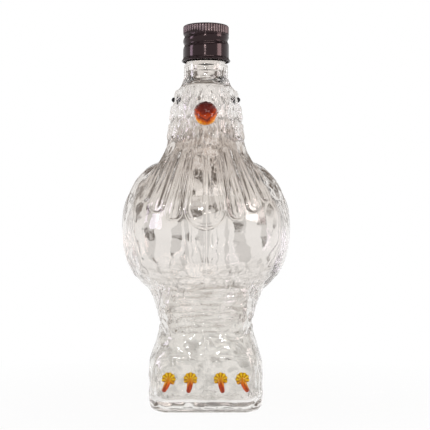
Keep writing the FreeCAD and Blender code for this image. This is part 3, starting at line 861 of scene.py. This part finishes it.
def beak():
    """The hooked beak: ovals that shrink along an arc, with a knobbed ridge and a round end."""
    face = -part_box("beak")[1][1] / MM + BEAK_SUNK
    straight = np.array([0, -1, 0])
    rings = [beak_oval(1.0, np.array([0, back - face, BEAK_HEIGHT]), straight, 0) for back in BEAK_ROOTS]
    low, high = BEAK_KNOB_HEIGHTS
    for share in np.linspace(0, 1, 34):
        angle = BEAK_SWEEP * share
        forward = np.array([0, -BEAK_REACH * math.cos(angle), -BEAK_DROP * math.sin(angle)])
        forward = forward / np.linalg.norm(forward)
        drop = BEAK_DROP * (1 - math.cos(angle))
        place = np.array([0, -face - BEAK_REACH * math.sin(angle), BEAK_HEIGHT - drop])
        taper = 1 - (1 - BEAK_TAPER_SHARE) * (2 * share - 1) ** 2
        knob = low + high * math.sin(share * BEAK_KNOB_TURNS * TAU) ** 2
        rings.append(beak_oval(taper, place, forward, knob * (1 - share ** 4)))
    for angle in quarter_turn(12)[1:-1]:
        tip = place + forward * (math.sin(angle) * BEAK_DOME)
        rings.append(beak_oval(taper * math.cos(angle), tip, forward, 0))
    return ringed_mesh("beak_drop", np.stack(rings))


def eye(node, side):
    """A bead melted on to the side of the head: a dome with a small flared foot."""
    low, high = (np.array(corner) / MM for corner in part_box(node))
    middle = (low + high) / 2
    foot_x = low[0] if side > 0 else high[0]
    turn = full_turn(EYE_COLUMNS)
    angle = rows_of(np.linspace(-EYE_SUNK_ANGLE, QUARTER, 16)[:-1])
    flares, sinks = np.array(EYE_FLARES).T[:, :, None]
    radius = EYE_RADIUS * np.cos(angle)
    radius = np.concatenate([flares * radius[:1], radius[1:]])
    out = EYE_RADIUS * np.sin(angle)
    out = np.concatenate([out[0] + sinks, out[1:]])
    y = radius * np.cos(turn)
    z = radius * np.sin(turn)
    x = out + 0 * turn
    base = foot_x + side * (EYE_RADIUS * math.sin(EYE_SUNK_ANGLE) + EYE_PROUD)
    rings = np.stack([base + side * (x * math.cos(EYE_TILT) - z * math.sin(EYE_TILT)), middle[1] + y * side,
                      middle[2] + x * math.sin(EYE_TILT) + z * math.cos(EYE_TILT)], axis=-1)
    return ringed_mesh(node + "_bead", rings)


def ball(centre, radius):
    """Points and faces of one small ball."""
    turn = full_turn(BALL_COLUMNS)
    tilt = rows_of(np.linspace(-QUARTER, QUARTER, BALL_COLUMNS // 2 + 1)[1:-1])
    rings = level(turn, radius * np.cos(tilt), radius * np.sin(tilt))
    points, faces = ringed_skin(rings, [[0, 0, -radius], [0, 0, radius]])
    return points + centre, faces


def between(ends, share):
    """A value part of the way from the first end to the last."""
    return ends[0] + share * (ends[1] - ends[0])


def claw_balls(offset):
    """Centres and radii of one claw's balls: hub, fanned toes and talon."""
    hub = np.array([0, -HUB_LIFT, 0])
    balls = [(hub, HUB_RADIUS)]
    for index in range(TOE_COUNT):
        turn = TOE_FAN * (index / (TOE_COUNT - 1) - 0.5)
        flat = math.cos(TOE_TILT)
        way = np.array([math.sin(turn) * flat, math.sin(TOE_TILT), math.cos(turn) * flat])
        for share in np.linspace(0.1, 1, 9):
            balls.append((hub + way * TOE_LENGTH * share, between(TOE_RADII, share)))
    for share in np.linspace(0, 1, 14):
        bend = TALON_BEND * share ** 2 * np.sign(offset)
        arch = TALON_ARCH * math.sin(math.pi * share)
        centre = np.array([bend, -HUB_LIFT - arch, -TALON_LENGTH * share])
        balls.append((centre, between(TALON_RADII, share)))
    return balls


def claw(node, offset, splay):
    """One claw: balls strung along its toes and bent talon, melted into one piece of glass."""
    points, faces = [], []
    start = 0
    for centre, radius in claw_balls(offset):
        ball_points, ball_faces = ball(centre, radius)
        points.append(ball_points)
        faces.extend(tuple(start + corner for corner in face) for face in ball_faces)
        start += len(ball_points)
    points = np.concatenate(points)
    angle = math.radians(splay)
    x = points[:, 0] * math.cos(angle) + points[:, 2] * math.sin(angle) + offset
    z = -points[:, 0] * math.sin(angle) + points[:, 2] * math.cos(angle) + CLAW_HEIGHT
    piece = make_mesh(node + "_melt", np.stack([x, points[:, 1] - BLOCK_HALF_DEPTH, z], axis=-1), faces)
    melt = piece.modifiers.new("melt", "REMESH")
    melt.mode = "VOXEL"
    melt.voxel_size = MELT_VOXEL * MM
    melt.use_smooth_shade = True
    soften = piece.modifiers.new("soften", "SMOOTH")
    soften.factor = 0.5
    soften.iterations = 2
    return piece


# Shader nodes

class NodeTree:
    """The nodes of a material or a world, with short ways to add to them."""

    def __init__(self, tree):
        self.nodes, self.links = tree.nodes, tree.links

    def feed(self, node, inputs):
        """Gives each named input a socket to follow, a number, a vector or a colour."""
        for name, value in inputs.items():
            socket = node.inputs[name]
            if isinstance(value, bpy.types.NodeSocket):
                self.links.new(value, socket)
            else:
                socket.default_value = (*value, 1) if socket.type == "RGBA" else value

    def add(self, kind, inputs, **settings):
        """A new node with its settings made and its inputs fed."""
        node = self.nodes.new("ShaderNode" + kind)
        for name, value in settings.items():
            setattr(node, name, value)
        self.feed(node, inputs)
        return node

    def step(self, operation, first, second=0):
        """One step of arithmetic with sockets or numbers."""
        return self.add("Math", {0: first, 1: second}, operation=operation).outputs[0]

    def times(self, first, second):
        """A product."""
        return self.step("MULTIPLY", first, second)

    def blend(self, share, first, second):
        """A mix of two colours, each a socket or a colour."""
        return self.add("Mix", {"Factor": share, "A": first, "B": second}, data_type="RGBA").outputs["Result"]

    def mix_shaders(self, share, first, second):
        """Sends a mix of two shaders to the surface."""
        mix = self.add("MixShader", {"Fac": share, 1: first, 2: second})
        self.feed(self.nodes["Material Output"], {"Surface": mix.outputs["Shader"]})

    def ramp(self, value, span, stops):
        """Colours over a span of a value."""
        spread = self.add("MapRange", {"Value": value, "From Min": span[0], "From Max": span[1]})
        node = self.add("ValToRGB", {"Fac": spread.outputs["Result"]})
        elements = node.color_ramp.elements
        for _ in range(len(stops) - 2):
            elements.new(0.5)
        for element, (place, color) in zip(elements, stops):
            element.position = place
            element.color = (*color, 1)
        return node.outputs["Color"]

    def place(self, kind="Object"):
        """Coordinates of the point that is shaded."""
        return self.add("TexCoord", {}).outputs[kind]

    def split(self, vector):
        """The three parts of a vector."""
        return self.add("SeparateXYZ", {0: vector}).outputs

    def place_in_mm(self):
        """The three coordinates of a point of the piece, in millimetres."""
        scaled = self.add("VectorMath", {0: self.place(), "Scale": 1 / MM}, operation="SCALE")
        return self.split(scaled.outputs[0])

    def noise(self, vector, scale, detail):
        """Soft noise between 0 and 1."""
        return self.add("TexNoise", {"Vector": vector, "Scale": scale, "Detail": detail}).outputs["Fac"]

    def stretched_noise(self, vector, stretch, detail):
        """Soft noise that runs at its own speed along each axis."""
        squeezed = self.add("Mapping", {"Vector": vector, "Scale": stretch})
        return self.noise(squeezed.outputs["Vector"], 1.0, detail)

    def uneven(self, shader, scale, strength, distance):
        """Makes a surface finely uneven, and gives the noise that does it."""
        noise = self.noise(self.place(), scale, GRAIN_DETAIL)
        grain = self.add("Bump", {"Strength": strength, "Distance": distance, "Height": noise})
        self.feed(shader, {"Normal": grain.outputs["Normal"]})
        return noise


def material(name):
    """A new material, its nodes and its main shader."""
    made = bpy.data.materials.new(name)
    made.use_nodes = True
    tree = NodeTree(made.node_tree)
    return made, tree, tree.nodes["Principled BSDF"]


# Materials

def add_shade_marks(tree, tint, stretch, low, high, fade, mark):
    """Painted shade: darker streaks or clouds between two heights of the glass, over a tint."""
    noise = tree.stretched_noise(tree.place(), stretch, GRAIN_DETAIL)
    height = tree.place_in_mm()[2]
    span = tree.ramp(height, (low, high), [(0.0, OFF), (fade, ON), (1 - fade, ON), (1.0, OFF)])
    return tree.blend(tree.times(span, tree.ramp(noise, (0.50, 0.64), RISING)), tint, mark)


def clear_glass():
    """Clear glass that lamps shine through. Its tint and marks are painted shade that stands for the darker
    surroundings it refracts.
    """
    made, tree, shader = material("clear_glass")
    noise = tree.uneven(shader, scale=220.0, strength=0.06, distance=0.0006)
    height = tree.step("ADD", tree.place_in_mm()[2], tree.times(noise, GLASS_DRIFT))
    # Painted shade: darker at the block, throat and neck, with darker marks laid over it.
    tint = tree.ramp(height, GLASS_SPAN, GLASS_STOPS)
    for mark in GLASS_SHADE_MARKS:
        tint = add_shade_marks(tree, tint, *mark)
    tree.feed(shader, {"Base Color": tint, "Roughness": 0.01, "IOR": 1.48, "Transmission Weight": 1.0})
    shadow = tree.add("LightPath", {}).outputs["Is Shadow Ray"]
    clear = tree.add("BsdfTransparent", {"Color": GLASS_SHADOW})
    tree.mix_shaders(shadow, shader.outputs["BSDF"], clear.outputs["BSDF"])
    return made


def cap_lacquer():
    """Brown-black lacquer, paler on the crests of the grip: partly worn to the metal, partly a painted
    highlight.
    """
    made, tree, shader = material("cap_lacquer")
    x, y, z = tree.place_in_mm()
    radius = tree.step("SQRT", tree.step("ADD", tree.times(x, x), tree.times(y, y)))
    crest = tree.ramp(radius, (CAP_RADIUS - 0.2, CAP_RADIUS - 0.03), RISING)
    band = tree.ramp(z, (GRIP_BOTTOM + 0.2, GRIP_BOTTOM + 1.0), RISING)
    noise = tree.uneven(shader, scale=900.0, strength=0.04, distance=0.0003)
    # Paler crests: partly wear to the metal, partly a painted highlight on the grip ribs.
    wear_and_glint = tree.times(tree.times(crest, band), noise)
    tree.feed(shader, {"Base Color": tree.blend(wear_and_glint, LACQUER, LACQUER_WEAR_AND_GLINT), "Roughness": 0.13,
                       "Specular IOR Level": 0.36, "Specular Tint": LACQUER_SHEEN})
    return made


def liner_foam():
    """Dull white foam."""
    made, tree, shader = material("liner_foam")
    tree.feed(shader, {"Base Color": FOAM, "Roughness": 0.75})
    tree.uneven(shader, scale=1500.0, strength=0.3, distance=0.0004)
    return made


def amber_beak():
    """Amber with painted light: dark at the top, a dark band low down, and a painted glow, orange at its
    edges and yellow underneath.
    """
    made, tree, shader = material("amber_beak")
    x, _, z = tree.place_in_mm()
    noise = tree.uneven(shader, scale=420.0, strength=0.12, distance=0.0006)
    bow = tree.times(tree.times(x, x), BEAK_BOW)
    height = tree.step("SUBTRACT", tree.step("ADD", z, tree.times(noise, BEAK_SWIRL)), bow)
    # Painted light: the colour runs from a painted glow underneath to a dark top.
    tree.feed(shader, {"Base Color": tree.ramp(height, BEAK_SPAN, BEAK_PAINTED_LIGHT_STOPS), **AMBER_SURFACE})
    return made


def amber_claw(offset, splay):
    """Yellow toes with radial streaks, lighter along each toe and darker between the toes, and an orange
    talon.
    """
    made, tree, shader = material("amber_claw")
    x, _, z = tree.place_in_mm()
    noise = tree.uneven(shader, scale=500.0, strength=0.12, distance=0.0006)
    out = tree.step("SUBTRACT", x, offset)
    up = tree.step("SUBTRACT", z, CLAW_HEIGHT)
    turn = tree.step("SUBTRACT", tree.step("ARCTAN2", out, up), math.radians(splay))
    wave = tree.step("COSINE", tree.times(turn, TAU * (TOE_COUNT - 1) / TOE_FAN))
    wave = tree.step("ADD", wave, tree.times(noise, STREAK_SWIRL))
    toes = tree.ramp(wave, STREAK_SPAN, TOE_STOPS)
    talon = tree.ramp(wave, STREAK_SPAN, TALON_STOPS)
    aside = tree.times(tree.step("ABSOLUTE", out), TALON_SPREAD)
    share = tree.ramp(tree.step("ADD", up, aside), TALON_TO_TOES, RISING)
    tree.feed(shader, {"Base Color": tree.blend(share, talon, toes), **AMBER_SURFACE})
    return made


def black_glass():
    """Glossy black glass."""
    made, tree, shader = material("black_glass")
    tree.feed(shader, {"Base Color": BLACK, "Roughness": 0.08, "Specular IOR Level": 0.25})
    tree.uneven(shader, scale=900.0, strength=0.08, distance=0.0003)
    return made


# Studio

def card_share(tree, way, across, height):
    """How much of the dull card shows in a direction. It fits inside the bottle's outline from the camera."""
    half_width = tree.ramp(height, CARD_SPAN, [(place, (half,) * 3) for place, half in CARD_HALF_WIDTHS])
    within = tree.ramp(tree.step("SUBTRACT", across, half_width), (-0.010, 0.002), FALLING)
    card = tree.times(within, tree.ramp(height, (-0.075, 0.125), CARD_END_STOPS))
    spots = tree.ramp(tree.stretched_noise(way, CARD_PATCHES, PATCH_DETAIL), (0.40, 0.60), CARD_SPOT_STOPS)
    shade = tree.blend(tree.ramp(height, (0.016, 0.030), RISING), CARD_LOW_SHADE, spots)
    return tree.times(card, shade)


def studio_world(scene):
    """A white room: uneven ceiling, a dark strip high at each side, a dull card on white cloth behind."""
    world = bpy.data.worlds.new("studio")
    scene.world = world
    world.use_nodes = True
    tree = NodeTree(world.node_tree)
    way = tree.place("Generated")
    x, y, height = tree.split(way)
    across = tree.step("ABSOLUTE", tree.step("ADD", x, AXIS_ASIDE))
    behind = tree.step("GREATER_THAN", y, 0.0)
    patches = tree.stretched_noise(way, CEILING_PATCHES, PATCH_DETAIL)
    ceiling = tree.ramp(patches, (0.38, 0.64), CEILING_STOPS)
    room = tree.blend(tree.ramp(height, (0.23, 0.32), RISING), ON, ceiling)
    strip = tree.ramp(across, (0.22, 0.45), STRIP_STOPS)
    strip = tree.times(strip, tree.ramp(height, (0.04, 0.07), RISING))
    room = tree.blend(tree.times(strip, behind), room, STRIP_COLOR)
    backdrop = tree.blend(card_share(tree, way, across, height), ON, CARD_COLOR)
    cloth = tree.ramp(across, (0.20, 0.23), FALLING)
    cloth = tree.times(cloth, tree.ramp(height, (0.20, 0.24), FALLING))
    shown = tree.blend(tree.times(cloth, behind), room, backdrop)
    tree.feed(tree.nodes["Background"], {"Color": shown})


def white_floor():
    """Paper that reads as white, with the object's shadow on it."""
    bpy.ops.mesh.primitive_circle_add(vertices=96, radius=PAPER_RADIUS, fill_type="NGON")
    floor = bpy.context.object
    floor.name = "floor"
    made, tree, shader = material("floor_paper")
    tree.feed(shader, {"Base Color": PAPER_COLOR, "Roughness": 1.0, "Specular IOR Level": 0.0})
    path = tree.add("LightPath", {}).outputs
    seen = tree.step("MAXIMUM", path["Is Camera Ray"], path["Is Glossy Ray"])
    seen = tree.step("MAXIMUM", seen, path["Is Transmission Ray"])
    distance = tree.add("VectorMath", {0: tree.place()}, operation="LENGTH").outputs["Value"]
    near, far = PAPER_SHADOW_SPAN
    white = tree.add("MapRange", {"Value": distance, "From Min": near, "From Max": far,
                                  "To Min": PAPER_GLOW_NEAR})
    glow = tree.add("Emission", {})
    share = tree.times(seen, white.outputs["Result"])
    tree.mix_shaders(share, shader.outputs["BSDF"], glow.outputs["Emission"])
    floor.data.materials.append(made)


def soft_lamp(name, place, size, power, color):
    """A soft box that faces the object."""
    data = bpy.data.lights.new(name, "AREA")
    data.shape = "RECTANGLE"
    data.size, data.size_y = size
    data.energy = power
    data.color = color
    lamp = bpy.data.objects.new(name, data)
    lamp.location = place
    lamp.rotation_euler = (Vector(LAMP_AIM) - Vector(place)).to_track_quat("-Z", "Y").to_euler()
    bpy.context.scene.collection.objects.link(lamp)


def camera_at_photo(scene):
    """The camera at the photograph's angle and frame."""
    data = bpy.data.cameras.new("camera")
    data.sensor_width = SENSOR_WIDTH
    data.lens = SENSOR_WIDTH * CAMERA_DISTANCE / VIEW_WIDTH
    camera = bpy.data.objects.new("camera", data)
    scene.collection.objects.link(camera)
    camera.location = Vector((CAMERA_ASIDE, -CAMERA_DISTANCE, CAMERA_HEIGHT)) * MM
    aim = Vector((CAMERA_ASIDE, 0, AIM_HEIGHT)) * MM
    camera.rotation_euler = (aim - camera.location).to_track_quat("-Z", "Y").to_euler()
    scene.camera = camera


def stage():
    """White floor and background, soft lamps, and the camera at the photograph's angle."""
    scene = bpy.context.scene
    scene.view_settings.view_transform = "Standard"
    scene.cycles.max_bounces = LIGHT_BOUNCES
    scene.cycles.glossy_bounces = LIGHT_BOUNCES
    scene.cycles.transmission_bounces = LIGHT_BOUNCES
    scene.cycles.transparent_max_bounces = LIGHT_BOUNCES
    studio_world(scene)
    white_floor()
    for lamp in LAMPS:
        soft_lamp(*lamp)
    camera_at_photo(scene)


def dress(piece, made, node, body):
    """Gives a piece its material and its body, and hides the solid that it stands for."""
    piece.data.materials.append(made)
    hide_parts(node)
    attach(piece, body)


def main():
    """All pieces, then the studio."""
    dress(glass_body(), clear_glass(), "glass_body", "decanter")
    dress(screw_cap(), cap_lacquer(), "screw_cap", "cap")
    dress(cap_liner(), liner_foam(), "cap_liner", "seal")
    dress(beak(), amber_beak(), "beak", "decanter")
    eyes = black_glass()
    for node, side in (("eye_left", -1), ("eye_right", 1)):
        dress(eye(node, side), eyes, node, "decanter")
    for node, offset, splay in CLAWS:
        dress(claw(node, offset, splay), amber_claw(offset, splay), node, "decanter")
    stage()


main()
